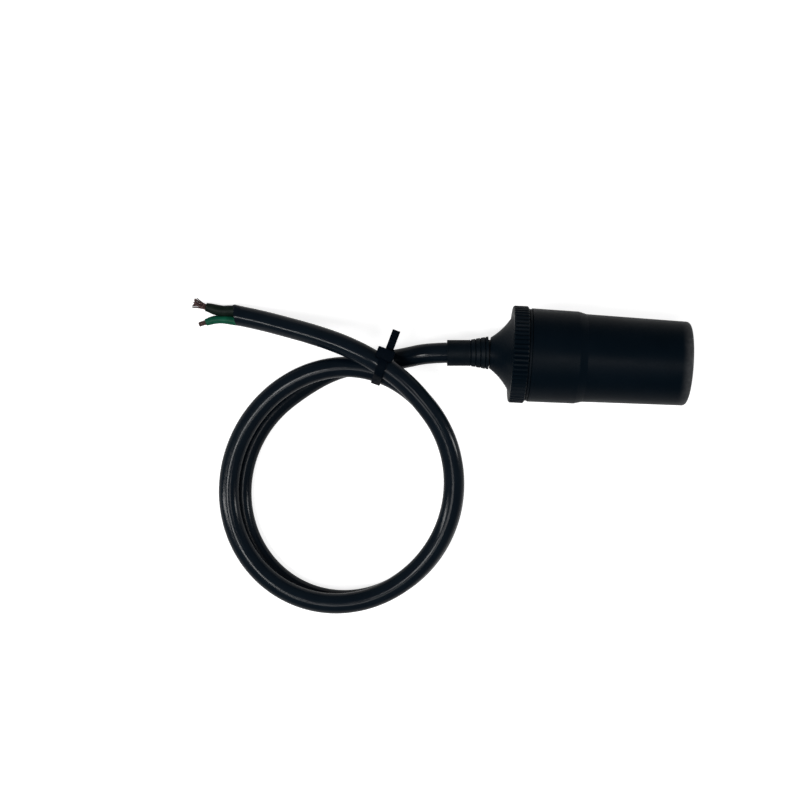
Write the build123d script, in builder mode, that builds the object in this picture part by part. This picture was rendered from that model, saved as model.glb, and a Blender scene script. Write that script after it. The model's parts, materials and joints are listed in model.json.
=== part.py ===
"""In-line 12 V power socket with a screw cap, a bend sleeve and a coiled two-core cable.

Millimetres. The origin is the middle of the plug bore's mouth, +X points out of the mouth and +Z is up.
The socket lies on its knurled collar, with the coil of cable beside it on the same surface.
"""

import os
from math import cos, pi, radians, sin, tan

from build123d import *

os.makedirs("parts", exist_ok=True)

# Plug bore: a drawn metal cup that takes a standard 12 V plug
bore_d = 21.0
shell_wall = 0.5
bore_depth = 40.0
shell_corner = 3.0

# Barrel: a moulded tube with a rounded rim, a slight taper and one shoulder
rim_stand = 0.8
rim_round = 1.4
mouth_d = 27.5
front_d = 28.8
front_length = 34.0
shoulder_length = 2.6
body_d = 30.2
rear_d = 30.6
barrel_length = 51.8
mouth_chamfer = 0.7
bulkhead = 2.5

# Screw joint between barrel and cap
collar_wall = 1.75
thread_depth = 0.8
spigot_length = 5.0
spigot_wall = 2.2

# Cap: knurled collar and trumpet neck in one moulding
cap_gap = 1.2
collar_d = 31.8
collar_length = 5.0
collar_chamfer = 0.4
knurl_count = 64
knurl_depth = 0.5
flare_step = 3.3
flare_length = 6.8
flare_sag = 0.9
flare_wall = 2.0
neck_d = 10.2
neck_wall = 1.4
neck_hole_d = 9.0
cavity_neck_d = 10.6
cavity_sag = 0.85

# Bend sleeve: a soft grommet snapped into the neck, leaning with the cable
sleeve_lean = 3.2
sleeve_length = 13.4
sleeve_groove_d = 8.6
sleeve_root_d = 10.8
sleeve_tip_d = 8.5
sleeve_rib_count = 4
sleeve_rib_pitch = 1.6
sleeve_rib_groove = 0.35
sleeve_flange_d = 10.0
sleeve_flange = 0.9

# Contacts at the floor of the cup
bush_flange_d = 6.6
bush_flange = 0.8
bush_boss_d = 5.0
contact_head_d = 5.2
contact_head = 1.6
contact_shank_d = 2.6
tag_sheet = 0.6
tag_width = 3.2
tag_leg = 5.0
leg_z = 2.8
set_head = 0.8
set_head_d = 3.8
rivet_offset = 5.4
rivet_d = 2.0
rivet_head_d = 2.8
rivet_head = 0.7

# Cable
cable_d = 6.7
core_d = 2.8
core_spread = 2.9
conductor_d = 1.6
sheath_end = 3.8
cord_stop_d = 8.8
cord_stop_length = 1.2
solder_start = 1.6
core_back = 0.4

# Fits
push_fit = 0.05
running_fit = 0.15
neck_fit = 0.25
lean_room = 0.3
solder_film = 0.05

# Cable route: hand-laid points of the two stretches that aren't coiled
lead_past_sleeve = 3.5
lead_in_sleeve = 2.0
lead_points = [(-89.5, -2.5, -1.6), (-97.4, -4.4, -5.4), (-106.4, -5.6, -9.3), (-116.6, -8.9, -11.9)]
tail_points = [
    (-93.2, -9.7, 8.4),
    (-102.5, -4.2, 8.6),
    (-112.1, -0.1, 5.0),
    (-122.5, 2.9, -1.4),
    (-132.2, 5.1, -7.6),
    (-141.5, 7.1, -11.5),
    (-148.8, 8.2, -12.5),
]

# Coil: two turns, the first on the surface and the second over it
inner_centre = (-108.4, -47.6)
inner_radii = (35.8, 37.8)
inner_skew = 0.6
outer_centre = (-110.2, -46.3)
outer_radii = (37.7, 39.6)
outer_skew = 1.0
coil_start = 122.0
coil_step = 18.0
coil_count = 37
turn_change = (353.0, 101.0)
end_change = (680.0, 90.0)
end_draw = 1.15
layer_change = (340.0, 95.0)
layer_rise = 7.7
outer_settle = 1.7
settle_angle = 545.0
tie_angle = 436.0
tie_lift = 5.8
tie_reach = 95.0

# Cable tie
tie_place = (-100.7, -11.5)
tie_turn = 72.4
strap_width = 2.5
strap_sheet = 1.0
strap_room = 0.5
lead_slant_room = 1.5
tie_head = (3.9, 5.2, 4.2)
tie_head_side = 3.6
tie_head_lift = 1.4
tie_tail = 6.9
tie_tail_rise = 12.0

# Free end: bent cores and bare strands
core_drop = 0.4
black_core_straight = 4.0
black_core_length = 10.5
black_core_angle = 172.4
black_strand_straight = 0.8
black_strand_length = 4.5
black_strand_angle = 160.0
green_core_straight = 4.9
green_core_length = 10.3
green_core_angle = 200.2
green_strand_length = 2.4

# Places along the axis, worked out from the sizes
bore_r = bore_d / 2
shell_r = bore_r + shell_wall
cable_r = cable_d / 2
table_z = -collar_d / 2
rim_x = rim_stand
shoulder_x = rim_x - front_length
rear_x = rim_x - barrel_length
floor_x = -bore_depth
bulkhead_x = floor_x - shell_wall
tag_x = bulkhead_x - bulkhead
set_x = tag_x - tag_sheet
solder_length = tag_leg - solder_start + core_back
spigot_end_x = rear_x - spigot_length
collar_bore_r = collar_d / 2 - collar_wall
spigot_r = collar_bore_r - running_fit - thread_depth
chamber_r = spigot_r - spigot_wall
flare_r = collar_d / 2 - flare_step
cavity_r = flare_r - flare_wall
collar_x = rear_x - cap_gap
collar_rear_x = collar_x - collar_length
neck_x = collar_rear_x - flare_length
neck_face_x = neck_x + neck_wall
pivot_x = (neck_x + neck_face_x) / 2
lean_gap = lean_room + sleeve_root_d / 2 * sin(radians(sleeve_lean))


def turned(profile_points, rounds=()):
    """A face of (x, radius) points, with some of its corners rounded, to be turned about the axis."""
    with BuildSketch(Plane.XY) as face:
        with BuildLine():
            Polyline(*profile_points, close=True)
        make_face()
        for corner, size in rounds:
            fillet(face.vertices().sort_by_distance(Vector(*corner))[0], size)
    return face.sketch


# Barrel housing
with BuildPart() as barrel_housing:
    rim_corner = (rim_x, mouth_d / 2)
    pocket_r = shell_r + push_fit
    add(
        turned(
            [
                (rim_x, pocket_r + mouth_chamfer),
                rim_corner,
                (shoulder_x, front_d / 2),
                (shoulder_x - shoulder_length, body_d / 2),
                (rear_x, rear_d / 2),
                (rear_x, spigot_r),
                (spigot_end_x, spigot_r),
                (spigot_end_x, chamber_r),
                (tag_x, chamber_r),
                (tag_x, contact_shank_d / 2 + push_fit),
                (bulkhead_x, contact_shank_d / 2 + push_fit),
                (bulkhead_x, pocket_r),
                (rim_x - mouth_chamfer, pocket_r),
            ],
            [(rim_corner, rim_round)],
        )
    )
    revolve(axis=Axis.X)
    with BuildSketch(Plane.YZ.offset(tag_x)):
        with Locations((0, -rivet_offset)):
            Circle(rivet_d / 2 + push_fit)
    extrude(amount=bulkhead, mode=Mode.SUBTRACT)
barrel_housing.part.label = "barrel_housing"
export_step(barrel_housing.part, "parts/barrel_housing.step")

# Contact shell: the drawn cup, flush with the bottom of the rim's lead-in
with BuildPart() as contact_shell:
    outer_corner = (bulkhead_x, shell_r)
    inner_corner = (floor_x, bore_r)
    add(
        turned(
            [
                (0, bore_r),
                (0, shell_r),
                outer_corner,
                (bulkhead_x, bush_boss_d / 2 + push_fit),
                (floor_x, bush_boss_d / 2 + push_fit),
                inner_corner,
            ],
            [(outer_corner, shell_corner + shell_wall), (inner_corner, shell_corner)],
        )
    )
    revolve(axis=Axis.X)
    with BuildSketch(Plane.YZ.offset(bulkhead_x)):
        with Locations((0, -rivet_offset)):
            Circle(rivet_d / 2 + push_fit)
    extrude(amount=shell_wall, mode=Mode.SUBTRACT)
contact_shell.part.label = "contact_shell"
export_step(contact_shell.part, "parts/contact_shell.step")

# Insulator bush: keeps the centre contact off the cup's floor
with BuildPart() as insulator_bush:
    bush_bore = contact_shank_d / 2 + push_fit
    add(
        turned(
            [
                (floor_x + bush_flange, bush_bore),
                (floor_x + bush_flange, bush_flange_d / 2),
                (floor_x, bush_flange_d / 2),
                (floor_x, bush_boss_d / 2),
                (bulkhead_x, bush_boss_d / 2),
                (bulkhead_x, bush_bore),
            ]
        )
    )
    revolve(axis=Axis.X)
insulator_bush.part.label = "insulator_bush"
export_step(insulator_bush.part, "parts/insulator_bush.step")

# Centre contact: a domed rivet, set over behind its tag
with BuildPart() as centre_contact:
    head_x = floor_x + bush_flange
    head_r = contact_head_d / 2
    shank_r = contact_shank_d / 2
    with BuildSketch(Plane.XY):
        with BuildLine():
            Polyline((head_x, head_r), (head_x, shank_r), (set_x, shank_r), (set_x, set_head_d / 2))
            Polyline((set_x, set_head_d / 2), (set_x - set_head, set_head_d / 3), (set_x - set_head, 0))
            Line((set_x - set_head, 0), (head_x + contact_head, 0))
            TangentArc((head_x + contact_head, 0), (head_x, head_r), tangent=(0, 1))
        make_face()
    revolve(axis=Axis.X)
centre_contact.part.label = "centre_contact"
export_step(centre_contact.part, "parts/centre_contact.step")


def solder_tag(hole_z, leg_bottom, hole_d, eye_d):
    """A sheet tag: an eye behind the bulkhead and, above it, a leg bent back along the axis."""
    leg_top = leg_bottom + tag_sheet
    with BuildPart() as tag:
        with BuildSketch(Plane.XZ) as strip:
            with BuildLine():
                Polyline(
                    (tag_x, hole_z),
                    (tag_x, leg_top),
                    (set_x - tag_leg, leg_top),
                    (set_x - tag_leg, leg_bottom),
                    (set_x, leg_bottom),
                    (set_x, hole_z),
                    close=True,
                )
            make_face()
            fillet(strip.vertices().sort_by_distance(Vector(tag_x, leg_top))[0], tag_sheet)
        extrude(amount=tag_width / 2, both=True)
        with BuildSketch(Plane.YZ.offset(set_x)):
            with Locations((0, hole_z)):
                Circle(eye_d / 2)
        extrude(amount=tag_sheet)
        with BuildSketch(Plane.YZ.offset(set_x)):
            with Locations((0, hole_z)):
                Circle(hole_d / 2 + push_fit)
        extrude(amount=tag_sheet, mode=Mode.SUBTRACT)
    return tag.part


# Positive tag on the centre contact, negative tag on the cup's rivet
positive_tag = solder_tag(0, leg_z, contact_shank_d, set_head_d + tag_sheet)
positive_tag.label = "positive_tag"
export_step(positive_tag, "parts/positive_tag.step")
negative_tag = solder_tag(-rivet_offset, -leg_z - tag_sheet, rivet_d, tag_width)
negative_tag.label = "negative_tag"
export_step(negative_tag, "parts/negative_tag.step")

# Tag rivet: through the cup's floor, the bulkhead and the negative tag
with BuildPart() as tag_rivet:
    with BuildSketch(Plane.YZ.offset(floor_x)):
        with Locations((0, -rivet_offset)):
            Circle(rivet_head_d / 2)
    extrude(amount=rivet_head)
    chamfer(tag_rivet.edges().group_by(Axis.X)[-1], rivet_head / 2)
    with BuildSketch(Plane.YZ.offset(set_x)):
        with Locations((0, -rivet_offset)):
            Circle(rivet_d / 2)
    extrude(amount=floor_x - set_x)
    with BuildSketch(Plane.YZ.offset(set_x - rivet_head)):
        with Locations((0, -rivet_offset)):
            Circle(rivet_head_d / 2)
    extrude(amount=rivet_head)
tag_rivet.part.label = "tag_rivet"
export_step(tag_rivet.part, "parts/tag_rivet.step")

# Rear cap: collar over the threaded spigot, trumpet neck, knurl all round
with BuildPart() as rear_cap:
    collar_r = collar_d / 2
    with BuildSketch(Plane.XY) as cap_profile:
        flare_middle = ((neck_x + collar_rear_x) / 2, (neck_d / 2 + flare_r) / 2 - flare_sag)
        cavity_middle = ((neck_face_x + collar_rear_x) / 2, (cavity_neck_d / 2 + cavity_r) / 2 - cavity_sag)
        with BuildLine():
            ThreePointArc((neck_x, neck_d / 2), flare_middle, (collar_rear_x, flare_r))
            Polyline((collar_rear_x, flare_r), (collar_rear_x, collar_r), (collar_x, collar_r))
            Polyline(
                (collar_x, collar_r),
                (collar_x, collar_bore_r),
                (spigot_end_x, collar_bore_r),
                (spigot_end_x, cavity_r),
                (collar_rear_x, cavity_r),
            )
            Polyline(
                (collar_rear_x, cavity_r),
                cavity_middle,
                (neck_face_x, cavity_neck_d / 2),
                (neck_face_x, neck_hole_d / 2),
                (neck_x, neck_hole_d / 2),
                (neck_x, neck_d / 2),
            )
        make_face()
        for edge_x in (collar_rear_x, collar_x):
            edge = cap_profile.vertices().sort_by_distance(Vector(edge_x, collar_r))[0]
            chamfer(edge, collar_chamfer)
    revolve(axis=Axis.X)
    knurl_half = pi * collar_d / knurl_count / 3
    with BuildSketch(Plane.YZ.offset(collar_rear_x)):
        groove = [(-knurl_depth, 0), (knurl_depth, -2 * knurl_half), (knurl_depth, 2 * knurl_half)]
        with PolarLocations(collar_r, knurl_count):
            Polygon(*groove, align=None)
    extrude(amount=collar_length, mode=Mode.SUBTRACT)
rear_cap.part.label = "rear_cap"
export_step(rear_cap.part, "parts/rear_cap.step")

# The cable's end, its stop and the sleeve share an axis that leans a little in the neck
lean = radians(sleeve_lean)
rearward = Vector(-cos(lean), -sin(lean), 0)
pivot = Vector(pivot_x, 0, 0)
lean_plane = Plane(origin=pivot, x_dir=rearward, z_dir=(0, 0, 1))
lean_axis = Axis(pivot, rearward)
sleeve_start = neck_wall / 2 + lean_gap
sleeve_tip = sleeve_start + sleeve_length
flange_face = -neck_wall / 2 - lean_gap

# Strain relief: flange inside the cap, groove in its neck, ribbed taper outside
with BuildPart() as strain_relief:
    sleeve_bore = cable_r + neck_fit
    taper = (sleeve_root_d - sleeve_tip_d) / 2
    rib_run = sleeve_rib_count * sleeve_rib_pitch
    with BuildSketch(lean_plane) as sleeve_profile:
        with BuildLine():
            Polyline(
                (flange_face - sleeve_flange, sleeve_bore),
                (flange_face - sleeve_flange, sleeve_flange_d / 2),
                (flange_face, sleeve_flange_d / 2),
                (flange_face, sleeve_groove_d / 2),
                (sleeve_start, sleeve_groove_d / 2),
                (sleeve_start, sleeve_root_d / 2),
                (sleeve_start + rib_run, sleeve_tip_d / 2),
                (sleeve_tip, sleeve_tip_d / 2),
                (sleeve_tip, sleeve_bore),
                close=True,
            )
        make_face()
    revolve(axis=lean_axis)
    with BuildSketch(lean_plane):
        for rib in range(sleeve_rib_count):
            place = sleeve_start + (rib + 0.6) * sleeve_rib_pitch
            radius = sleeve_root_d / 2 - taper * (place - sleeve_start) / rib_run
            with BuildLine():
                Polyline(
                    (place, radius - sleeve_rib_groove),
                    (place - sleeve_rib_pitch / 4, radius + sleeve_rib_groove),
                    (place + sleeve_rib_pitch / 4, radius + sleeve_rib_groove),
                    close=True,
                )
            make_face()
    revolve(axis=lean_axis, mode=Mode.SUBTRACT)
strain_relief.part.label = "strain_relief"
export_step(strain_relief.part, "parts/strain_relief.step")

# Cable entry: the straight sheath inside the cap and sleeve
entry_start = flange_face - sleeve_flange - sheath_end
entry_end = sleeve_tip - lead_in_sleeve
with BuildPart() as cable_entry:
    with BuildSketch(Plane(origin=lean_plane.from_local_coords((entry_start, 0, 0)), z_dir=rearward)):
        Circle(cable_r)
    extrude(amount=entry_end - entry_start)
cable_entry.part.label = "cable_entry"
export_step(cable_entry.part, "parts/cable_entry.step")

# Cord stop: a crimped ring that keeps the sheath from pulling through the neck
stop_start = flange_face - sleeve_flange - lean_room - cord_stop_length
with BuildPart() as cord_stop:
    with BuildSketch(Plane(origin=lean_plane.from_local_coords((stop_start, 0, 0)), z_dir=rearward)):
        Circle(cord_stop_d / 2)
        Circle(cable_r + push_fit, mode=Mode.SUBTRACT)
    extrude(amount=cord_stop_length)
cord_stop.part.label = "cord_stop"
export_step(cord_stop.part, "parts/cord_stop.step")


def swept_round(points, bends, diameter):
    """A round bar along straight runs joined by tangent arcs of the given radii."""
    with BuildPart() as bar:
        with BuildLine() as path:
            FilletPolyline(*points, radius=bends)
        with BuildSketch(Plane(origin=path.line @ 0, z_dir=path.line % 0)):
            Circle(diameter / 2)
        sweep(path=path.line)
    return bar.part


def mitred_round(points, diameter):
    """A round bar along straight runs with mitred corners."""
    with BuildPart() as bar:
        with BuildLine() as path:
            Polyline(*points)
        with BuildSketch(Plane(origin=path.line @ 0, z_dir=path.line % 0)):
            Circle(diameter / 2)
        sweep(path=path.line, transition=Transition.RIGHT)
    return bar.part


def round_bar(start, direction, length, diameter):
    """A straight round bar."""
    with BuildPart() as bar:
        with BuildSketch(Plane(origin=start, z_dir=direction)):
            Circle(diameter / 2)
        extrude(amount=length)
    return bar.part


def inner_core(wire_z, side):
    """An insulated core, drawn straight from its tag to the sheath's end."""
    tag_end = Vector(set_x - solder_start - solder_length, 0, wire_z)
    sheath_face = lean_plane.from_local_coords((entry_start, 0, side * core_spread / 2))
    with BuildPart() as core:
        with BuildSketch(Plane(origin=tag_end, x_dir=(0, 0, 1), z_dir=(-1, 0, 0))):
            Circle(core_d / 2)
        with BuildSketch(Plane(origin=sheath_face, x_dir=(0, 0, 1), z_dir=rearward)):
            Circle(core_d / 2)
        loft()
    return core.part


# Inner cores and their soldered ends
conductor_seat = conductor_d / 2 + solder_film
for name, side in (("green", 1), ("black", -1)):
    wire_z = side * (leg_z - conductor_seat)
    core = inner_core(wire_z, side)
    core.label = f"inner_{name}_core"
    export_step(core, f"parts/{core.label}.step")
    solder_place = Vector(set_x - solder_start, 0, wire_z)
    conductor = round_bar(solder_place, (-1, 0, 0), solder_length, conductor_d)
    conductor.label = f"inner_{name}_conductor"
    export_step(conductor, f"parts/{conductor.label}.step")


def ease(share):
    """A smooth step from 0 to 1."""
    held = min(1.0, max(0.0, share))
    return held * held * (3 - 2 * held)


def swell(share):
    """A smooth hump, 1 in the middle and 0 from -1 and 1 outwards."""
    return (1 + cos(pi * min(1.0, abs(share)))) / 2


def between(low, high, share):
    """The value that lies a share of the way from low to high."""
    return low + (high - low) * share


def coil_point(angle):
    """A point of the coil: two flat turns that rise, one over the other, to the tie."""
    outward = ease((angle - turn_change[0]) / turn_change[1])
    centre_x = between(inner_centre[0], outer_centre[0], outward)
    centre_y = between(inner_centre[1], outer_centre[1], outward)
    swing = between(inner_skew, outer_skew, outward) * sin(radians(2 * angle))
    swing -= end_draw * ease((angle - end_change[0]) / end_change[1])
    radius_x = between(inner_radii[0], outer_radii[0], outward) + swing
    radius_y = between(inner_radii[1], outer_radii[1], outward) + swing
    height = table_z + cable_r
    for turn_angle in (0, 360):
        height += layer_rise * ease((angle - turn_angle - layer_change[0]) / layer_change[1])
        height += tie_lift * swell((angle - turn_angle - tie_angle) / tie_reach)
    height -= outer_settle * swell((angle - settle_angle) / tie_reach)
    place = radians(angle)
    return Vector(centre_x + radius_x * cos(place), centre_y + radius_y * sin(place), height)


def bend_radius(before, corner, after):
    """The radius of the largest tangent arc that leaves a little of both runs straight."""
    first = corner - before
    second = after - corner
    turn = radians(first.get_angle(second))
    return 0.45 * min(first.length, second.length) / tan(turn / 2)


# The whole route, from inside the sleeve to the cut end
lead_start = lean_plane.from_local_coords((entry_end, 0, 0))
lead_bend = lean_plane.from_local_coords((sleeve_tip + lead_past_sleeve, 0, 0))
lead_route = [lead_start, lead_bend] + [Vector(*point) for point in lead_points]
coil_route = [coil_point(coil_start + coil_step * step) for step in range(coil_count)]
tail_route = [Vector(*point) for point in tail_points]
route = lead_route + coil_route + tail_route
bends = [bend_radius(*route[index - 1 : index + 2]) for index in range(1, len(route) - 1)]
print("cable bend radii", [round(bend, 1) for bend in bends])


def stretch(first, last):
    """The points and bends of the route's corners first to last, ended halfway along a run."""
    points = route[first : last + 1]
    if first > 1:
        points = [(route[first - 1] + route[first]) / 2] + points
    else:
        points = [route[0]] + points
    if last < len(route) - 2:
        points = points + [(route[last] + route[last + 1]) / 2]
    else:
        points = points + [route[-1]]
    return points, bends[first - 1 : last]


# Cable: the lead to the coil, the coil itself and the tail to the cut end
coil_first = len(lead_route)
tail_first = coil_first + coil_count
lead_run, lead_bends = stretch(1, coil_first - 1)
coil_run, coil_bends = stretch(coil_first, tail_first - 1)
tail_run, tail_bends = stretch(tail_first, len(route) - 2)
cable_length = 0.0
for name, sheath, points, radii in (
    ("cable_lead", swept_round(lead_run, lead_bends, cable_d), lead_run, lead_bends),
    ("cable_coil", mitred_round(coil_run, cable_d), coil_run, coil_bends),
    ("cable_tail", swept_round(tail_run, tail_bends, cable_d), tail_run, tail_bends),
):
    length = FilletPolyline(*points, radius=radii).length
    cable_length += length
    sheath.label = name
    export_step(sheath, f"parts/{name}.step")
    volume_share = sheath.volume / (pi * cable_r**2 * length)
    print(name, "length", round(length, 1), "volume share", round(volume_share, 4))
print("cable length past the sleeve", round(cable_length - lead_in_sleeve, 1))

# Cable tie: a strap round the three strands at the crossing, its head and its cut tail
tie_dir = Vector(cos(radians(tie_turn)), sin(radians(tie_turn)), 0)
tie_plane = Plane(origin=(*tie_place, 0), x_dir=tie_dir, z_dir=tie_dir.rotate(Axis.Z, -90))


def strap_crossing(points):
    """Where a stretch of the route passes through the strap's plane, in that plane's own coordinates."""
    local = [tie_plane.to_local_coords(point) for point in points]
    for start, end in zip(local[:-1], local[1:]):
        if start.Z * end.Z <= 0:
            share = start.Z / (start.Z - end.Z)
            return between(start.X, end.X, share), between(start.Y, end.Y, share)


tie_rise = int((tie_angle - coil_start) / coil_step)
strands = [
    (strap_crossing(lead_route), cable_r + strap_room + lead_slant_room),
    (strap_crossing(coil_route[tie_rise - 2 : tie_rise + 4]), cable_r + strap_room),
    (strap_crossing([coil_route[-1]] + tail_route), cable_r + strap_room),
]
with BuildPart() as cable_tie:
    with BuildSketch(tie_plane):
        for place, room in strands:
            with Locations(place):
                Circle(room + strap_sheet)
        make_hull()
    extrude(amount=strap_width / 2, both=True)
    tail_place = strands[2][0]
    head_place = (tail_place[0] + tie_head_side, tail_place[1] + tie_head_lift)
    with BuildSketch(tie_plane):
        with Locations(head_place):
            Rectangle(tie_head[0], tie_head[2])
    extrude(amount=tie_head[1] / 2, both=True)
    with BuildSketch(tie_plane):
        tail_reach = tie_head[0] / 2 + tie_tail
        with Locations(head_place):
            Polygon(
                (0, -strap_sheet / 2),
                (tail_reach, -strap_sheet / 2),
                (tail_reach - strap_sheet, strap_sheet / 2),
                (0, strap_sheet / 2),
                rotation=tie_tail_rise,
                align=None,
            )
    extrude(amount=strap_width / 2, both=True)
    with BuildSketch(tie_plane):
        for place, room in strands:
            with Locations(place):
                Circle(room)
        make_hull()
    extrude(amount=tie_head[1], both=True, mode=Mode.SUBTRACT)
cable_tie.part.label = "cable_tie"
export_step(cable_tie.part, "parts/cable_tie.step")

def level(angle):
    """A level direction at an angle from +X."""
    return Vector(cos(radians(angle)), sin(radians(angle)), 0)


def bent_round(start, first, first_length, second, second_length, diameter):
    """A round bar of two straight runs with one bend between them, and where it ends."""
    corner = start + first * first_length
    end = corner + second * second_length
    return swept_round([start, corner, end], [bend_radius(start, corner, end)], diameter), end


# Free end: each core leaves the cut square to it, bends away and ends in bare strands
cut_dir = (route[-1] - route[-2]).normalized()
cut_side = Vector(0, 0, 1).cross(cut_dir).normalized()
black_away = level(black_core_angle)
black_start = route[-1] + cut_side * (core_drop - core_spread / 2)
black_core, black_end = bent_round(
    black_start, cut_dir, black_core_straight, black_away, black_core_length - black_core_straight, core_d
)
black_strand_away = level(black_strand_angle)
black_strand_bent = black_strand_length - black_strand_straight
black_conductor, black_tip = bent_round(
    black_end, black_away, black_strand_straight, black_strand_away, black_strand_bent, conductor_d
)
green_away = level(green_core_angle)
green_start = route[-1] + cut_side * (core_drop + core_spread / 2)
green_core, green_end = bent_round(
    green_start, cut_dir, green_core_straight, green_away, green_core_length - green_core_straight, core_d
)
green_conductor = round_bar(green_end, green_away, green_strand_length, conductor_d)
for name, solid in (
    ("black_core", black_core),
    ("black_conductor", black_conductor),
    ("green_core", green_core),
    ("green_conductor", green_conductor),
):
    solid.label = name
    export_step(solid, f"parts/{name}.step")
for name, place in (("black end", black_end), ("black tip", black_tip), ("green end", green_end)):
    print(name, [round(value, 3) for value in place])
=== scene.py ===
# %% [markdown]
# # A 12 V car socket with a coiled lead
# The real thing is a black moulded barrel that takes a vehicle plug. A knurled cap closes its back,
# a ribbed rubber sleeve guards the cable, and the spare cable is wound twice and tied.
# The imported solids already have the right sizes, so they are loaded as a frame and dressed.
# Everything is in metres, with the middle of the bore's mouth at the origin and +X out of it.

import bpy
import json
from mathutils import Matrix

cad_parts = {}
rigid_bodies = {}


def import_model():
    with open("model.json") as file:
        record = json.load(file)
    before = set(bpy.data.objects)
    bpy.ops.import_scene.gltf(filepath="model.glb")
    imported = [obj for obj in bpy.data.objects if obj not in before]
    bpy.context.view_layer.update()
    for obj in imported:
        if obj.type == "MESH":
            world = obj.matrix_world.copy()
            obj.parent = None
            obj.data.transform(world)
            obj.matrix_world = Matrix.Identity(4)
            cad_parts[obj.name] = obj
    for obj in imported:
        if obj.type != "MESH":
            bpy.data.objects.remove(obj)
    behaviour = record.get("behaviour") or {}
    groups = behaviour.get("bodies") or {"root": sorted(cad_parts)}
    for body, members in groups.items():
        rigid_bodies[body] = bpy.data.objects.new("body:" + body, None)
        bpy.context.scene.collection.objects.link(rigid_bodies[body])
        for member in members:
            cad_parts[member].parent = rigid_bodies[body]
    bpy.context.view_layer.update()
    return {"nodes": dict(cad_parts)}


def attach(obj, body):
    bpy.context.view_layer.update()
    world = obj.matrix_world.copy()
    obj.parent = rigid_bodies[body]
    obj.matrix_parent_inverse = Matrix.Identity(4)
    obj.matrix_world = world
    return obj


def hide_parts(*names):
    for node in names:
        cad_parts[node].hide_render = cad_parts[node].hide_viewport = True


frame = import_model()

import json
import random
from math import cos, exp, pi, radians, sin

import bmesh
import bpy
from mathutils import Vector

node = frame["nodes"]
stage = bpy.context.scene.collection.objects
mm = 0.001

# %% [markdown]
# ## The camera
# The photograph looks straight down from about 0.6 m, with the socket turned a few degrees.
# A long lens keeps the barrel's sides nearly parallel, as they are in the photograph.
# The turn is given to the camera, because the solids stay square to their own axes.

# %% Set the camera above the coil
table = -15.9 * mm
photo_turn = radians(3.2)
lens = bpy.data.cameras.new("overhead_camera")
lens.lens = 78.75
lens.sensor_width = 36
camera = bpy.data.objects.new("overhead_camera", lens)
camera.location = (-92.55 * mm, -17.09 * mm, 573.1 * mm)
camera.rotation_euler = (0, 0, photo_turn)
stage.link(camera)
bpy.context.scene.camera = camera
print("camera above the table by", round(camera.location.z - table, 4), "m")

# %% [markdown]
# ## The cable's route
# The cable leaves the sleeve, dips to the table, makes two turns and comes out over its own crossing.
# A free cable has no corners, so one NURBS line runs through the whole route: its control points are
# the lead, the turns of the coil and the tail. The turns come from a short formula, because a neat
# coil is two ellipses that change size and height a little; the lead and the tail are listed point by
# point.
# The route is laid out in millimetres and turned into metres at the end.

# %% Lay out the lead and the tail
sleeve_lean = radians(3.2)
sleeve_pivot = Vector((-63.3, 0, 0))
rearward = Vector((-cos(sleeve_lean), -sin(sleeve_lean), 0))
sleeve_reach = 14.7014
inside_sleeve = 2.0
slack = Vector((0, 0.1, 0))
lead = [
    sleeve_pivot + rearward * (sleeve_reach - inside_sleeve) + slack,
    sleeve_pivot + rearward * 21.0,
    Vector((-91.3, -3.1, -2.2)),
    Vector((-97.8, -4.6, -5.6)),
    Vector((-106.4, -5.6, -9.3)),
    Vector((-116.6, -8.9, -11.9)),
]
tail = [
    Vector((-93.2, -9.7, 8.4)),
    Vector((-102.5, -4.2, 8.6)),
    Vector((-112.1, -0.1, 5.0)),
    Vector((-122.5, 2.9, -0.5)),
    Vector((-132.2, 5.1, -5.5)),
    Vector((-141.0, 7.0, -9.9)),
    Vector((-147.6, 8.0, -12.0)),
]
print("lead and tail points:", len(lead), "and", len(tail))


# %% Two easing curves for the coil
def ease(share):
    """Climb smoothly from 0 to 1 as the share does."""
    held = min(1.0, max(0.0, share))
    return held * held * (3 - 2 * held)


def swell(share):
    """Make a smooth hump: 1 in the middle, 0 from a share of 1 on both sides."""
    return (1 + cos(pi * min(1.0, abs(share)))) / 2


print("half way up:", ease(0.5), "and half way down:", swell(0.5))

# %% [markdown]
# The coil is wound by the angle: the lead joins it at 122 degrees, and nearly two turns later the tail
# leaves it. The second turn's ellipse is a little larger and moved. The cable climbs one layer each
# turn, is lifted where the tie holds the crossing, and sags on to the turn below in between.

# %% Sizes of the coil, in millimetres and degrees
cable_r = 3.35
on_table = table / mm + cable_r
coil_start, coil_step, coil_count = 122, 18, 37
middle_across, middle_along = -108.4, -47.6
inner_across, inner_along = 35.8, 37.8
wider_across, wider_along = 1.9, 1.8
shift_across, shift_along = -1.8, 1.3
widen_from, widen_over = 353, 101
skew, skew_gain = 0.6, 0.4
end_pull, end_from, end_over = 1.15, 680, 90
layer_rise, climb_from, climb_over = 7.7, 250, 185
tie_lift, tie_angle, tie_spread = 5.8, 436, 120
sags = [(1.7, 545, 95), (0.8, 668, 115)]
print("coil wound from", coil_start, "to", coil_start + coil_step * (coil_count - 1), "degrees")


# %% Wind the coil by a formula
def coil_point(angle):
    outer = ease((angle - widen_from) / widen_over)
    turned = radians(angle)
    swing = (skew + skew_gain * outer) * sin(2 * turned)
    swing -= end_pull * ease((angle - end_from) / end_over)
    across = (inner_across + wider_across * outer + swing) * cos(turned)
    along = (inner_along + wider_along * outer + swing) * sin(turned)
    height = on_table
    for depth, lowest, spread in sags:
        height -= depth * swell((angle - lowest) / spread)
    for turn in (0, 360):
        height += layer_rise * ease((angle - turn - climb_from) / climb_over)
        height += tie_lift * swell((angle - turn - tie_angle) / tie_spread)
    return Vector((
        across + middle_across + shift_across * outer,
        along + middle_along + shift_along * outer,
        height,
    ))


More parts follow.
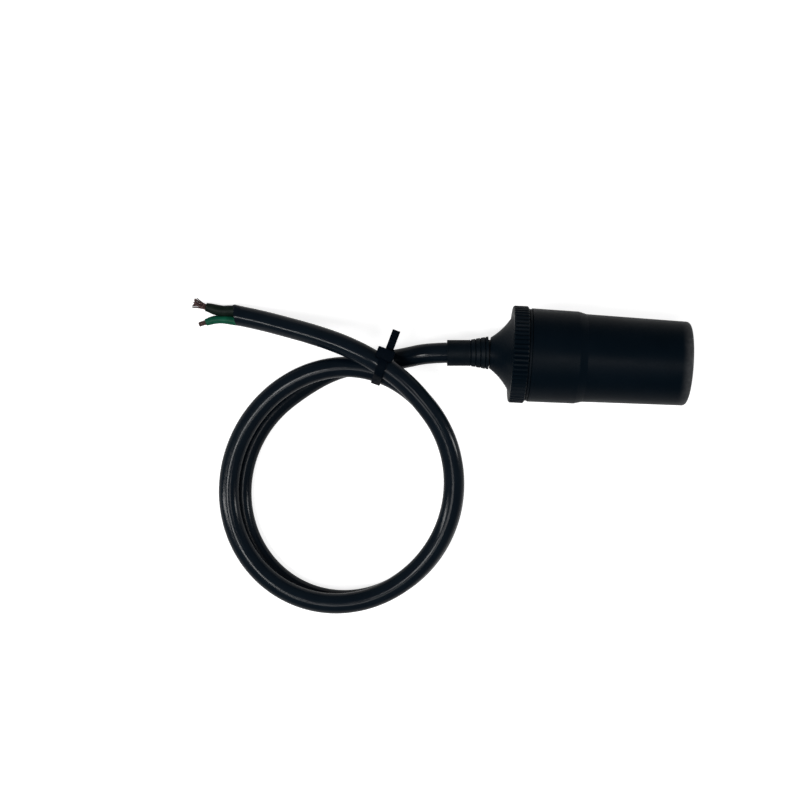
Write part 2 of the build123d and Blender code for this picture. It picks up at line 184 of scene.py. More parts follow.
coil = [coil_point(coil_start + coil_step * place) for place in range(coil_count)]
route = [point * mm for point in lead + coil + tail]
print("route points:", len(route))

# %% [markdown]
# ## The cable itself
# A curve object with a round bevel is a tube that follows its line exactly, so the cable stays one
# smooth piece. Each control point carries the tube's radius and the bevel depth is one, which draws
# the same tube as a plain bevel and lets Blender work out the curve's true box.
# Order 3 and the end-point switch come after the points, or the line would fall back to straight runs.

# %% Draw the cable on its NURBS line
cable_radius = cable_r * mm


def nurbs_line(curve, points, radius):
    spline = curve.splines.new("NURBS")
    spline.points.add(len(points) - 1)
    for control, place in zip(spline.points, points):
        control.co = (*place, 1)
        control.radius = radius
    spline.order_u = 3
    spline.use_endpoint_u = True


def round_curve(name, sides):
    curve = bpy.data.curves.new(name, "CURVE")
    curve.dimensions = "3D"
    curve.bevel_depth = 1.0
    curve.bevel_resolution = sides
    curve.resolution_u = 10
    curve.use_fill_caps = True
    piece = bpy.data.objects.new(name, curve)
    stage.link(piece)
    return piece


cable = round_curve("coiled_cable", sides=8)
nurbs_line(cable.data, route, cable_radius)
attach(cable, "socket")
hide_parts("cable_lead", "cable_coil", "cable_tail")
print("cable drawn with radius", cable_radius)


# %% Read the cable's own line back
def spine_of(piece):
    piece.data.bevel_depth = 0
    line = bpy.data.meshes.new_from_object(piece)
    points = [vertex.co.copy() for vertex in line.vertices]
    bpy.data.meshes.remove(line)
    piece.data.bevel_depth = 1.0
    return points


spine = spine_of(cable)
cable_length = sum((second - first).length for first, second in zip(spine[:-1], spine[1:]))
print("cable length along its line:", round(cable_length, 4), "m")

# %% [markdown]
# ## The nylon tie
# A cable tie is a thin strap pulled tight round the crossing, a block that locks it, and a cut tail.
# A strap pulled tight takes the shortest way round: in every direction it lies on whichever strand
# sticks out most. That rule draws its outline from the three places where the strap's plane cuts
# the cable. The tie has its own axes: across the strands, up, and through the loop.

# %% Find the three strands under the strap
tie_place = Vector((-100.7, -11.5, 0)) * mm
tie_turn = radians(72.4)
tie_across = Vector((cos(tie_turn), sin(tie_turn), 0))
tie_upward = Vector((0, 0, 1))
tie_through = tie_across.cross(tie_upward)
tie_reach = 20 * mm


def in_tie_plane(offset):
    return Vector((offset.dot(tie_across), offset.dot(tie_upward)))


def strands_under_strap():
    found = []
    for first, second in zip(spine[:-1], spine[1:]):
        before = (first - tie_place).dot(tie_through)
        after = (second - tie_place).dot(tie_through)
        if before * after < 0:
            offset = first.lerp(second, before / (before - after)) - tie_place
            if offset.length < tie_reach:
                slope = (second - first) / (after - before)
                found.append((in_tie_plane(offset), in_tie_plane(slope)))
    return found


strands = strands_under_strap()
tail_strand = strands[-1][0]
print("strands under the strap:", strands)


# %% Helpers for pieces made in mesh code
def in_tie(across, up, through):
    return tie_place + tie_across * across + tie_upward * up + tie_through * through


def prism(shape, outline, start, end):
    near = [shape.verts.new(in_tie(across, up, start)) for across, up in outline]
    far = [shape.verts.new(in_tie(across, up, end)) for across, up in outline]
    faces = [shape.faces.new(near), shape.faces.new(far[::-1])]
    for place in range(len(outline)):
        after = (place + 1) % len(outline)
        faces.append(shape.faces.new((near[place], far[place], far[after], near[after])))
    bmesh.ops.recalc_face_normals(shape, faces=faces)
    return faces


def hoop(shape, rings, closed):
    sides = len(rings[0])
    last = len(rings) if closed else len(rings) - 1
    for place in range(last):
        ring = rings[place]
        after = rings[(place + 1) % len(rings)]
        for side in range(sides):
            beside = (side + 1) % sides
            shape.faces.new((ring[side], ring[beside], after[beside], after[side]))
    if not closed:
        shape.faces.new(rings[0][::-1])
        shape.faces.new(rings[-1])


def finish_mesh(shape, name, sharp_angle):
    bmesh.ops.recalc_face_normals(shape, faces=shape.faces)
    mesh = bpy.data.meshes.new(name)
    shape.to_mesh(mesh)
    shape.free()
    mesh.shade_smooth()
    mesh.set_sharp_from_angle(angle=radians(sharp_angle))
    piece = bpy.data.objects.new(name, mesh)
    stage.link(piece)
    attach(piece, "socket")
    return piece


print("mesh helpers ready")

# %% Strap drawn tight round the strands
strap_half_width = 1.5 * mm
strap_sheet = 0.62 * mm
strap_gap = 0.1 * mm
strap_steps = 120
strap_section = [
    (-1, 0.2), (-0.85, 0), (0.85, 0), (1, 0.2), (1, 0.8), (0.85, 1), (-0.85, 1), (-1, 0.8)
]


def on_strand(strand, slope, wide, away):
    stretch = (1 + slope.dot(away) ** 2) ** 0.5
    middle = strand + slope * wide
    return middle + (away + slope * slope.dot(away)) * cable_radius / stretch


def strap_ring(shape, turn):
    away = Vector((cos(turn), sin(turn)))
    ring = []
    for side, thick in strap_section:
        wide = side * strap_half_width
        touched = max((on_strand(*strand, wide, away) for strand in strands), key=away.dot)
        place = touched + away * (strap_gap + strap_sheet * thick)
        ring.append(shape.verts.new(in_tie(place.x, place.y, wide)))
    return ring


tie_shape = bmesh.new()
strap = [strap_ring(tie_shape, 2 * pi * step / strap_steps) for step in range(strap_steps)]
hoop(tie_shape, strap, closed=True)
print("strap faces:", len(tie_shape.faces))

# %% Locking block, hollowed where it sits on the tail strand
block = tail_strand + Vector((3.6, 1.4)) * mm
block_half_width, block_half_height = 1.95 * mm, 2.1 * mm
block_near, block_far = -3.1 * mm, 2.7 * mm
block_round, sharp_corner = 0.4 * mm, radians(50)
seat_gap, seat_steps = 0.4 * mm, 8
block_left, block_right = block.x - block_half_width, block.x + block_half_width
block_low, block_high = block.y - block_half_height, block.y + block_half_height
seat = cable_radius + seat_gap
seat_top = (seat**2 - (block_left - tail_strand.x) ** 2) ** 0.5
block_outline = []
for step in range(seat_steps + 1):
    drop = step / seat_steps
    height = (1 - drop) * seat_top + drop * (block_low - tail_strand.y)
    block_outline.append((tail_strand.x + (seat**2 - height**2) ** 0.5, tail_strand.y + height))
block_outline += [(block_right, block_low), (block_right, block_high), (block_left, block_high)]
block_faces = prism(tie_shape, block_outline, block_near, block_far)
block_edges = {
    edge for face in block_faces for edge in face.edges if edge.calc_face_angle(0) > sharp_corner
}
bevelled = bmesh.ops.bevel(
    tie_shape, geom=list(block_edges), offset=block_round, segments=2, profile=0.6, affect="EDGES"
)
print("block faces:", len(bevelled["faces"]))

# %% Mouth of the block
mouth_border, mouth_depth = 0.75 * mm, 0.7 * mm
block_mouth = max(
    (face for face in tie_shape.faces if face.normal.dot(tie_across) > 0.99),
    key=lambda face: face.calc_area(),
)
bmesh.ops.inset_individual(
    tie_shape, faces=[block_mouth], thickness=mouth_border, depth=-mouth_depth
)
print("faces with the mouth:", len(tie_shape.faces))

# %% Toothed tail, cut at a slant
tail_rise = radians(12)
tail_along = Vector((cos(tail_rise), sin(tail_rise)))
tail_out = Vector((-sin(tail_rise), cos(tail_rise)))
tail_start, tail_end, tail_end_foot = 0.5 * mm, 8.4 * mm, 8.65 * mm
tail_near, tail_far = -0.75 * mm, 1.8 * mm
tooth, tooth_count = 1.0 * mm, 8
tooth_root, tooth_tip, tail_foot = 0.22 * mm, 0.5 * mm, -0.5 * mm


def on_tail(along, out):
    return tuple(block + tail_along * along + tail_out * out)


tail_outline = []
for step in range(tooth_count):
    begin = tail_start + tooth * step
    tail_outline.append(on_tail(begin, tooth_root))
    tail_outline.append(on_tail(begin + 0.85 * tooth, tooth_tip))
tail_outline.append(on_tail(tail_end, 0.9 * tooth_tip))
tail_outline.append(on_tail(tail_end_foot, tail_foot))
tail_outline.append(on_tail(tail_start, tail_foot))
prism(tie_shape, tail_outline, tail_near, tail_far)
tie = finish_mesh(tie_shape, "nylon_tie", sharp_angle=35)
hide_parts("cable_tie")
print("tie faces:", len(tie.data.polygons))

# %% [markdown]
# ## The cut end of the sheath
# The knife went through the sheath at a slant, and left a burr where the blade came out.
# The tube's own cap is square, so it stops a little early and a thin ring is turned round its last
# direction: the ring's edge slants, is a little uneven from a fixed seed, and swells into the burr.

# %% Turn the slanted ring and pull out its burr
cut_place = route[-1]
cut_along = (route[-1] - route[-2]).normalized()
cut_side = Vector((0, 0, 1)).cross(cut_along).normalized()
cut_up = cut_along.cross(cut_side)
cut_steps = 72
cut_reach, cut_slant, cut_unevenness = 1.0, 0.85, 0.1
burr_turn, burr_spread = radians(150), 0.32
ring_back, ring_outside, ring_inside = -0.6, cable_r + 0.01, cable_r - 0.45
knife = random.Random(5)
ring_shape = bmesh.new()
rings = []
for step in range(cut_steps):
    turn = 2 * pi * step / cut_steps
    edge = cut_reach - cut_slant * cos(turn) + knife.uniform(0.0, cut_unevenness)
    toward_burr = (turn - burr_turn + pi) % (2 * pi) - pi
    burr = exp(-((toward_burr / burr_spread) ** 2))
    away = cut_side * cos(turn) + cut_up * sin(turn)
    section = [
        (ring_back, ring_outside),
        (edge - 0.15 + 0.5 * burr, ring_outside + 0.01 + 0.3 * burr),
        (edge + 0.75 * burr, ring_outside - 0.14 + 0.25 * burr),
        (edge - 0.1, ring_inside + 0.08),
        (ring_back / 2, ring_inside),
        (ring_back, ring_inside),
    ]
    rings.append([
        ring_shape.verts.new(cut_place + cut_along * reach * mm + away * radius * mm)
        for reach, radius in section
    ])
hoop(ring_shape, rings, closed=True)
sheath_cut = finish_mesh(ring_shape, "sheath_cut", sharp_angle=40)
print("ring faces:", len(sheath_cut.data.polygons))

# %% [markdown]
# ## The two cores
# Each core is a soft tube that the stripper has squeezed, so it isn't quite round or straight.
# The CAD cores are even rods. Here each becomes a curve laid over the photograph, whose
# control points have slightly different radii: the quickest way to make a soft tube lumpy in Blender.


# %% Draw the cores as lumpy tubes
def lumpy_core(name, places, radii, node_name):
    piece = round_curve(name, sides=6)
    nurbs_line(piece.data, [Vector(place) * mm for place in places], 1 * mm)
    for control, radius in zip(piece.data.splines[0].points, radii):
        control.radius = radius * mm
    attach(piece, "socket")
    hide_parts(node_name)
    return piece


black_core_end = Vector((-159.15, 10.35, -13.04)) * mm
green_core_end = Vector((-158.945, 5.23, -13.158)) * mm
black_core = lumpy_core(
    "charcoal_core",
    [
        (-146.3, 9.3, -12.2), (-149.0, 9.6, -12.5), (-151.4, 9.5, -12.75), (-153.6, 9.35, -12.95),
        (-155.8, 9.6, -13.05), (-157.6, 10.1, -13.05), black_core_end / mm,
    ],
    (1.5, 1.85, 1.88, 1.8, 1.86, 1.62, 1.42),
    "black_core",
)
green_core = lumpy_core(
    "green_wire_core",
    [
        (-146.4, 5.9, -12.3), (-149.0, 6.25, -12.6), (-151.6, 6.4, -12.85), (-153.8, 6.45, -13.0),
        (-155.8, 6.35, -13.1), (-157.4, 5.85, -13.15), green_core_end / mm,
    ],
    (1.4, 1.5, 1.38, 1.26, 1.42, 1.36, 1.15),
    "green_core",
)
print("cores drawn to", black_core_end, "and", green_core_end)

# %% [markdown]
# ## The thread under the cap
# The cap screws on to the barrel's spigot. With the cap home the thread is hidden, but it shows in
# the gap when the cap is drawn back, so it is a real ridge that climbs the spigot as the screw does.
# A small trapezoid is swept along a helix, and its height fades at both ends as a moulded thread does.


# %% Sweep the ridge
def ring_about_axis(shape, section, turn):
    return [
        shape.verts.new((place * mm, radius * mm * cos(turn), radius * mm * sin(turn)))
        for place, radius in section
    ]


thread_start, thread_pitch, thread_turns = -55.2, 1.5, 2.25
thread_steps, thread_fade = 135, 0.08
thread_foot, thread_flank, thread_height = 13.1, 13.2, 0.74
foot_half_width, crest_half_width = 0.52, 0.2
thread_shape = bmesh.new()
rings = []
for step in range(thread_steps + 1):
    share = step / thread_steps
    middle = thread_start + thread_pitch * thread_turns * share
    crest = thread_flank + thread_height * ease(min(share, 1 - share) / thread_fade)
    section = [
        (middle - foot_half_width, thread_foot),
        (middle - crest_half_width, crest),
        (middle + crest_half_width, crest),
        (middle + foot_half_width, thread_foot),
    ]
    rings.append(ring_about_axis(thread_shape, section, 2 * pi * thread_turns * share))
hoop(thread_shape, rings, closed=False)
thread = finish_mesh(thread_shape, "spigot_thread", sharp_angle=30)
print("thread ends at", round(middle, 2), "mm")

# %% [markdown]
# ## The washer behind the barrel
# The solids leave 1.2 mm between the collar and the barrel, so that the cap can turn. The photograph
# shows no more than a dark line there, so a flat rubber washer fills the gap. It sits on the barrel's
# back face, clear of the thread's crest and of the collar, and stays there when the cap is drawn back.

# %% Turn the washer from its section
washer_front, washer_back = -51.05, -52.05
washer_inside, washer_outside, washer_round = 14.0, 15.05, 0.2
washer_steps = 96
washer_section = [
    (washer_front, washer_inside),
    (washer_front, washer_outside - washer_round),
    (washer_front - washer_round, washer_outside),
    (washer_back + washer_round, washer_outside),
    (washer_back, washer_outside - washer_round),
    (washer_back, washer_inside),
]
washer_shape = bmesh.new()
rings = [
    ring_about_axis(washer_shape, washer_section, 2 * pi * step / washer_steps)
    for step in range(washer_steps)
]
hoop(washer_shape, rings, closed=True)
washer = finish_mesh(washer_shape, "cap_washer", sharp_angle=40)
print("washer faces:", len(washer.data.polygons))

# %% [markdown]
# ## Finishes: a small kit
# Each finish is a Principled shader with its plain values typed into its own sockets. Real surfaces are
# never even, so noise in the object's own space moves the colour, the roughness and the relief a little.
# Small helpers do that: one makes the noise, one squeezes it into a range, and others turn it into
# tint, shine and relief, or paint the colour lighter towards an edge, partly as rubbing wear and partly
# as a painted highlight.


# %% Helpers for finishes
def shader_of(finish):
    return finish.node_tree.nodes["Principled BSDF"]


def new_finish(name, roughness, metallic, specular):
    finish = bpy.data.materials.new(name)
    finish.use_nodes = True
    shader = shader_of(finish)
    shader.inputs["Roughness"].default_value = roughness
    shader.inputs["Metallic"].default_value = metallic
    shader.inputs["Specular IOR Level"].default_value = specular
    return finish


def grain(finish, size, stretch, detail):
    tree = finish.node_tree
    place = tree.nodes.new("ShaderNodeTexCoord")
    spread = tree.nodes.new("ShaderNodeMapping")
    spread.inputs["Scale"].default_value = stretch
    noise = tree.nodes.new("ShaderNodeTexNoise")
    noise.inputs["Scale"].default_value = 1 / size
    noise.inputs["Detail"].default_value = detail
    tree.links.new(place.outputs["Object"], spread.inputs["Vector"])
    tree.links.new(spread.outputs["Vector"], noise.inputs["Vector"])
    return noise.outputs["Fac"]


def squeeze(finish, source, low, high):
    tree = finish.node_tree
    limits = tree.nodes.new("ShaderNodeMapRange")
    limits.inputs["From Min"].default_value = 0.3
    limits.inputs["From Max"].default_value = 0.7
    limits.inputs["To Min"].default_value = low
    limits.inputs["To Max"].default_value = high
    tree.links.new(source, limits.inputs["Value"])
    return limits.outputs["Result"]


print("noise helpers ready")

# %% Tint, shine and relief from the noise
even, usual_detail = (1, 1, 1), 4


def tint(finish, size, dark, light):
    tree = finish.node_tree
    mixed = tree.nodes.new("ShaderNodeMix")
    mixed.data_type = "RGBA"
    mixed.inputs["A"].default_value = (*dark, 1)
    mixed.inputs["B"].default_value = (*light, 1)
    patches = squeeze(finish, grain(finish, size, even, usual_detail), 0, 1)
    tree.links.new(patches, mixed.inputs["Factor"])
    tree.links.new(mixed.outputs["Result"], shader_of(finish).inputs["Base Color"])


def shine(finish, size, smooth, rough, stretch=even):
    patches = squeeze(finish, grain(finish, size, stretch, usual_detail), smooth, rough)
    finish.node_tree.links.new(patches, shader_of(finish).inputs["Roughness"])


def relief(finish, size, depth, stretch=even, detail=usual_detail):
    tree = finish.node_tree
    bump = tree.nodes.new("ShaderNodeBump")
    bump.inputs["Distance"].default_value = depth
    tree.links.new(grain(finish, size, stretch, detail), bump.inputs["Height"])
    tree.links.new(bump.outputs["Normal"], shader_of(finish).inputs["Normal"])


def dress(finish, *pieces):
    for piece in pieces:
        piece.data.materials.clear()
        piece.data.materials.append(finish)


print("finish helpers ready")

# %% Wear and painted highlight along the axis
wear_and_highlight_patch, least_wear_and_highlight = 1.5 * mm, 0.6


# Paints a lighter grey band along X towards an edge: partly rubbing wear, partly a painted highlight.
def rim_wear_and_highlight(finish, start, end, worn_and_lit_grey, strength):
    tree = finish.node_tree
    colour = shader_of(finish).inputs["Base Color"]
    place = tree.nodes.new("ShaderNodeTexCoord")
    split = tree.nodes.new("ShaderNodeSeparateXYZ")
    nearness = tree.nodes.new("ShaderNodeMapRange")
    nearness.interpolation_type = "SMOOTHSTEP"
    nearness.inputs["From Min"].default_value = start
    nearness.inputs["From Max"].default_value = end
    patchy = tree.nodes.new("ShaderNodeMath")
    patchy.operation = "MULTIPLY"
    mixed = tree.nodes.new("ShaderNodeMix")
    mixed.data_type = "RGBA"
    mixed.inputs["B"].default_value = (*worn_and_lit_grey, 1)
    spots = grain(finish, wear_and_highlight_patch, even, usual_detail)
    patches = squeeze(finish, spots, least_wear_and_highlight * strength, strength)
    tree.links.new(place.outputs["Object"], split.inputs["Vector"])
    tree.links.new(split.outputs["X"], nearness.inputs["Value"])
    tree.links.new(nearness.outputs["Result"], patchy.inputs[0])
    tree.links.new(patches, patchy.inputs[1])
    tree.links.new(patchy.outputs["Value"], mixed.inputs["Factor"])
    tree.links.new(colour.links[0].from_socket, mixed.inputs["A"])
    tree.links.new(mixed.outputs["Result"], colour)


print("wear helper ready")

# %% [markdown]
# ## Black plastics and rubber
# The barrel and the cap are moulded in one satin black plastic with a fine spark-eroded grain, and
# the rim of the mouth is painted grey, partly as wear from plugs and partly as a painted highlight.
# The sleeve is a softer, duller rubber, the sheath is smoother with a thin sheen, and the tie is nylon.
# All are nearly the same cool black, so their roughness has to tell them apart. The specular level
# is kept low, because a black part on a white table turns grey at its edges otherwise.

# %% Satin moulding for barrel and cap
moulding = new_finish("satin_black_moulding", roughness=0.38, metallic=0.0, specular=0.043)
tint(moulding, 12 * mm, dark=(0.0006, 0.0029, 0.0055), light=(0.0012, 0.0038, 0.007))
# The rim of the mouth is painted lighter grey: partly wear from plugs, partly a painted highlight on the
# rim.
rim_wear_and_highlight(moulding, start=-3.2 * mm, end=1.2 * mm, worn_and_lit_grey=(0.07, 0.072, 0.074), strength=0.85)
shine(moulding, 9 * mm, smooth=0.34, rough=0.42)
relief(moulding, 0.22 * mm, depth=0.012 * mm, detail=3)
dress(moulding, node["barrel_housing"], node["rear_cap"], thread)
print("moulding on", node["barrel_housing"].name, "and", node["rear_cap"].name)

# %% Dull rubber for the sleeve and the washer
rubber = new_finish("dull_black_rubber", roughness=0.5, metallic=0.0, specular=0.06)
tint(rubber, 4 * mm, dark=(0.0012, 0.0036, 0.0062), light=(0.002, 0.0048, 0.008))
shine(rubber, 3 * mm, smooth=0.42, rough=0.56)
relief(rubber, 0.3 * mm, depth=0.015 * mm, detail=3)
dress(rubber, node["strain_relief"], washer)
print("rubber on", node["strain_relief"].name, "and", washer.name)

# %% Sheath with a thin sheen
sheath = new_finish("black_cable_sheath", roughness=0.19, metallic=0.0, specular=0.094)
tint(sheath, 7 * mm, dark=(0.0019, 0.0044, 0.0078), light=(0.0028, 0.006, 0.0098))
shine(sheath, 4 * mm, smooth=0.15, rough=0.23)
relief(sheath, 1.6 * mm, depth=0.02 * mm, detail=5)
dress(sheath, cable, sheath_cut, node["cable_entry"])
print("sheath on", cable.name)

# %% Nylon for the tie
nylon = new_finish("black_nylon", roughness=0.6, metallic=0.0, specular=0.018)
tint(nylon, 3 * mm, dark=(0.0004, 0.0019, 0.004), light=(0.0009, 0.0027, 0.0054))
shine(nylon, 2 * mm, smooth=0.52, rough=0.68)
relief(nylon, 0.5 * mm, depth=0.01 * mm)
dress(nylon, tie)
print("nylon on", tie.name)

# %% [markdown]
# ## Wire insulation
# One core is dark charcoal and the other dark green. Both are soft plastic, a little waxy,
# and slightly streaked by the cutter that stripped them.

# %% Two insulations
charcoal = new_finish("charcoal_insulation", roughness=0.45, metallic=0.0, specular=0.07)
tint(charcoal, 2 * mm, dark=(0.0028, 0.0068, 0.005), light=(0.0066, 0.0116, 0.0088))
shine(charcoal, 1.2 * mm, smooth=0.38, rough=0.52)
relief(charcoal, 0.5 * mm, depth=0.02 * mm)
dress(charcoal, black_core, node["inner_black_core"])
green = new_finish("green_insulation", roughness=0.42, metallic=0.0, specular=0.09)
tint(green, 2 * mm, dark=(0.0015, 0.045, 0.024), light=(0.0045, 0.08, 0.043))
shine(green, 1.2 * mm, smooth=0.34, rough=0.5)
relief(green, 0.5 * mm, depth=0.02 * mm)
dress(green, green_core, node["inner_green_core"])
print("insulation on", black_core.name, "and", green_core.name)

# %% [markdown]
# ## Metals
# The plug's cup is plated steel, drawn along its axis, so its fine scratches run along it.
# The contact and its rivet are turned brass, the tags are tinned brass, and the ring on the cable
# is aluminium. The bare wire is copper that has gone dull and brownish in the air.

# %% Plated cup
drawn = (0.04, 1, 1)
plating = new_finish("plated_cup", roughness=0.28, metallic=1.0, specular=0.5)
tint(plating, 6 * mm, dark=(0.52, 0.51, 0.49), light=(0.64, 0.63, 0.6))
shine(plating, 0.35 * mm, smooth=0.22, rough=0.32, stretch=drawn)
relief(plating, 0.3 * mm, depth=0.0012 * mm, stretch=drawn)
dress(plating, node["contact_shell"])
print("plating on", node["contact_shell"].name)

# %% Turned brass
lathe = (0.2, 1, 1)
brass = new_finish("turned_brass", roughness=0.3, metallic=1.0, specular=0.5)
tint(brass, 1.5 * mm, dark=(0.54, 0.37, 0.15), light=(0.68, 0.49, 0.22))
shine(brass, 0.3 * mm, smooth=0.22, rough=0.4, stretch=lathe)
relief(brass, 0.25 * mm, depth=0.005 * mm, stretch=lathe)
dress(brass, node["centre_contact"], node["tag_rivet"])
print("brass on", node["centre_contact"].name)

# %% Tinned tags and the alloy ring
tinned = new_finish("tinned_sheet", roughness=0.38, metallic=1.0, specular=0.5)
tint(tinned, 1.2 * mm, dark=(0.42, 0.4, 0.35), light=(0.57, 0.55, 0.5))
shine(tinned, 0.8 * mm, smooth=0.28, rough=0.48)
relief(tinned, 0.6 * mm, depth=0.01 * mm)
dress(tinned, node["positive_tag"], node["negative_tag"])
alloy = new_finish("crimped_alloy", roughness=0.4, metallic=1.0, specular=0.5)
tint(alloy, 1.5 * mm, dark=(0.48, 0.48, 0.5), light=(0.6, 0.6, 0.61))
shine(alloy, 0.6 * mm, smooth=0.32, rough=0.5)
relief(alloy, 0.4 * mm, depth=0.01 * mm)
dress(alloy, node["cord_stop"])
print("tin on the tags, alloy on", node["cord_stop"].name)

# %% Insulating board
board = new_finish("brown_board", roughness=0.6, metallic=0.0, specular=0.3)
tint(board, 0.8 * mm, dark=(0.06, 0.022, 0.012), light=(0.1, 0.04, 0.022))
shine(board, 0.5 * mm, smooth=0.5, rough=0.7)
relief(board, 0.3 * mm, depth=0.02 * mm)
dress(board, node["insulator_bush"])
print("board on", node["insulator_bush"].name)

# %% Dull copper
copper = new_finish("dull_copper", roughness=0.45, metallic=1.0, specular=0.5)
tint(copper, 0.6 * mm, dark=(0.026, 0.016, 0.016), light=(0.115, 0.07, 0.066))
shine(copper, 0.4 * mm, smooth=0.36, rough=0.56)
relief(copper, 0.15 * mm, depth=0.006 * mm)
dress(copper, node["inner_black_conductor"], node["inner_green_conductor"])
print("copper on the inner conductors")

# %% [markdown]
# ## Bare strands
# The CAD ends each core in a plain rod, which is right for collision but not for the eye.
# A real conductor is a twisted bundle of fine wires, and the cutter splays them.
# Nineteen thin lines in a hexagonal packing make the bundle; a fixed seed bends each tip its own way,
# and the black core's wires part into two tufts as they do in the photograph.

# %% One helper for both bundles
strand_radius = 0.16 * mm
inner_ring, outer_ring = 0.31, 0.6
twist_range, length_range, stray_limit = (15, 45), (0.86, 1.0), 0.22
parting_turn, parting_least, droop = 20, 0.05, 0.4
corner_share = 0.2
shares = (-0.15, 0.05, 0.3, 0.6, 0.85, 1.0)


def bundle(name, start, corner, tip, tufts, gather, girth, seed):
    chance = random.Random(seed)
    along = (tip - start).normalized()
    side = Vector((0, 0, 1)).cross(along).normalized()
    up = along.cross(side)
    places = [(0.0, 0.0)]
    places += [(inner_ring * girth, turn * 60) for turn in range(6)]
    places += [(outer_ring * girth, turn * 30) for turn in range(12)]
    piece = round_curve(name, sides=2)
    for reach, turn in places:
        in_first_tuft = sin(radians(turn + parting_turn)) * reach > parting_least
        tuft = tufts[0] if in_first_tuft else tufts[-1]
        twist = chance.uniform(*twist_range)
        own_share = chance.uniform(*length_range)
        stray = chance.uniform(-stray_limit, stray_limit)
        line = []
        for share in shares:
            run = share * own_share
            if run < corner_share:
                middle = start.lerp(corner, run / corner_share)
            else:
                middle = corner.lerp(tip, (run - corner_share) / (1 - corner_share))
            bare = max(0, share)
            angle = radians(turn + twist * share)
            away = reach * (1 + gather * bare)
            aside = away * cos(angle) + (tuft + stray) * bare**2
            above = away * sin(angle) - droop * abs(stray) * bare
            line.append(middle + side * aside * mm + up * above * mm)
        nurbs_line(piece.data, line, strand_radius)
    dress(copper, piece)
    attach(piece, "socket")
    return piece


print("bundle helper ready")

# %% Strands of the black and the green core
black_corner = Vector((-159.95, 10.55, -13.04)) * mm
black_tip = Vector((-163.5, 11.85, -13.04)) * mm
green_turn, green_bare = radians(20.2), 2.5 * mm
green_tip = green_core_end + Vector((-cos(green_turn), -sin(green_turn), 0)) * green_bare
black_strands = bundle(
    "black_strands",
    black_core_end,
    black_corner,
    black_tip,
    tufts=(-0.7, 0.85),
    gather=-0.1,
    girth=1.45,
    seed=3,
)
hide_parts("black_conductor")
green_strands = bundle(
    "green_strands",
    green_core_end,
    green_core_end.lerp(green_tip, corner_share),
    green_tip,
    tufts=(0.0, 0.0),
    gather=-0.3,
    girth=1.15,
    seed=8,
)
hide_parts("green_conductor")
print("strands:", len(black_strands.data.splines), "and", len(green_strands.data.splines))

# %% [markdown]
# ## Floor and light
# The photograph is a cut-out on white. A pale floor does that, with a glow that only the camera,
# mirrors and glass see, so the object isn't lit by it and still drops a soft shadow.
# A black cable shows little but the reflection of its lamps, one thin bright line along its back.
# A small key lamp draws that line on the coil, and each stretch that slopes needs a lamp of its own,
# because a sloping cable mirrors another part of the room. Where a lamp has to hang follows from
# the mirror rule: the surface's normal halves the angle between the camera and the lamp.

# %% White floor
floor_radius, floor_sides = 0.55, 60
floor_middle = Vector((-0.08, -0.03, table))
floor_rim = []
for step in range(floor_sides):
    turn = 2 * pi * step / floor_sides
    floor_rim.append(floor_middle + Vector((cos(turn), sin(turn), 0)) * floor_radius)
floor_mesh = bpy.data.meshes.new("white_floor")
floor_mesh.from_pydata(floor_rim, [], [range(floor_sides)])
floor = bpy.data.objects.new("white_floor", floor_mesh)
stage.link(floor)
print("floor at", table)


# %% White paper that glows for the camera and for mirrors
def either(tree, first, second):
    larger = tree.nodes.new("ShaderNodeMath")
    larger.operation = "MAXIMUM"
    tree.links.new(first, larger.inputs[0])
    tree.links.new(second, larger.inputs[1])
    return larger.outputs["Value"]


def scaled(tree, source, amount):
    product = tree.nodes.new("ShaderNodeMath")
    product.operation = "MULTIPLY"
    product.inputs[1].default_value = amount
    tree.links.new(source, product.inputs[0])
    return product.outputs["Value"]


def seen_glow(tree, for_camera, for_mirrors):
    rays = tree.nodes.new("ShaderNodeLightPath")
    mirrored = either(tree, rays.outputs["Is Glossy Ray"], rays.outputs["Is Transmission Ray"])
    straight = scaled(tree, rays.outputs["Is Camera Ray"], for_camera)
    return either(tree, straight, scaled(tree, mirrored, for_mirrors))


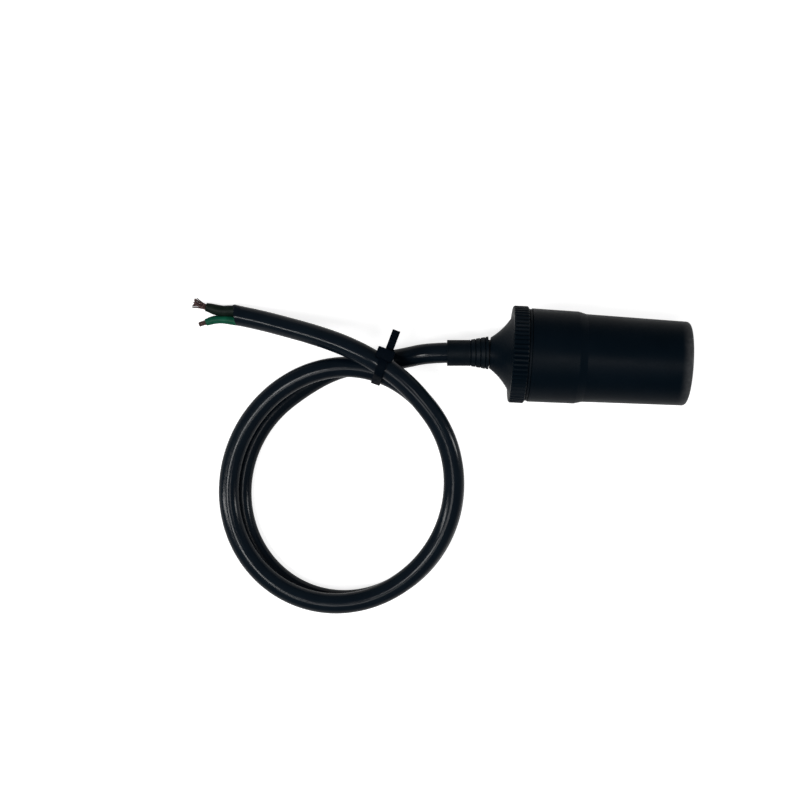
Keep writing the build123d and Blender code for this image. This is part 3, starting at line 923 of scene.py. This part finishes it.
paper = bpy.data.materials.new("white_paper")
paper.use_nodes = True
sheet = paper.node_tree
sheet.nodes.remove(sheet.nodes["Principled BSDF"])
matte = sheet.nodes.new("ShaderNodeBsdfDiffuse")
matte.inputs["Color"].default_value = (0.55, 0.55, 0.55, 1)
glow = sheet.nodes.new("ShaderNodeEmission")
sheet.links.new(seen_glow(sheet, for_camera=0.8, for_mirrors=0.2), glow.inputs["Strength"])
both = sheet.nodes.new("ShaderNodeAddShader")
sheet.links.new(matte.outputs["BSDF"], both.inputs[0])
sheet.links.new(glow.outputs["Emission"], both.inputs[1])
sheet.links.new(both.outputs["Shader"], sheet.nodes["Material Output"].inputs["Surface"])
dress(paper, floor)
print("paper on", floor.name)

# %% Pale horizon, dim zenith
world = bpy.data.worlds.new("pale_studio")
bpy.context.scene.world = world
world.use_nodes = True
sky = world.node_tree
sky.nodes["Background"].inputs["Color"].default_value = (1, 1, 1, 1)
direction = sky.nodes.new("ShaderNodeTexCoord")
split = sky.nodes.new("ShaderNodeSeparateXYZ")
fading = sky.nodes.new("ShaderNodeMapRange")
fading.inputs["From Min"].default_value = 0.0
fading.inputs["From Max"].default_value = 0.75
fading.inputs["To Min"].default_value = 0.3
fading.inputs["To Max"].default_value = 0.1
sky.links.new(direction.outputs["Generated"], split.inputs["Vector"])
sky.links.new(split.outputs["Z"], fading.inputs["Value"])
shown = either(sky, fading.outputs["Result"], seen_glow(sky, for_camera=1.0, for_mirrors=0.2))
sky.links.new(shown, sky.nodes["Background"].inputs["Strength"])
print("world set")


# %% Lamps
def soft_lamp(name, place, width, length, power):
    lamp = bpy.data.lights.new(name, "AREA")
    lamp.shape = "RECTANGLE"
    lamp.size = width
    lamp.size_y = length
    lamp.energy = power
    holder = bpy.data.objects.new(name, lamp)
    holder.location = place
    stage.link(holder)
    return holder


overhead = 0.76
soft_lamp("key_lamp", (-0.33, -0.19, overhead), width=0.15, length=0.16, power=2.5)
soft_lamp("lamp_for_the_rise", (-0.22, -0.4, overhead), width=0.3, length=0.12, power=1.2)
soft_lamp("lamp_over_the_barrel", (0.08, -0.12, overhead), width=0.12, length=0.2, power=0.8)
tail_lamp = soft_lamp(
    "lamp_down_the_tail", (-0.84, -0.23, 0.56), width=0.06, length=0.5, power=4.2
)
tail_lamp.rotation_euler = (radians(50), 0, radians(-90))
mouth_lamp = soft_lamp("lamp_at_the_mouth", (0.55, 0.03, 0.16), width=0.1, length=0.2, power=1.6)
mouth_lamp.rotation_euler = (-mouth_lamp.location).to_track_quat("-Z", "Y").to_euler()
bpy.context.scene.view_settings.view_transform = "Standard"
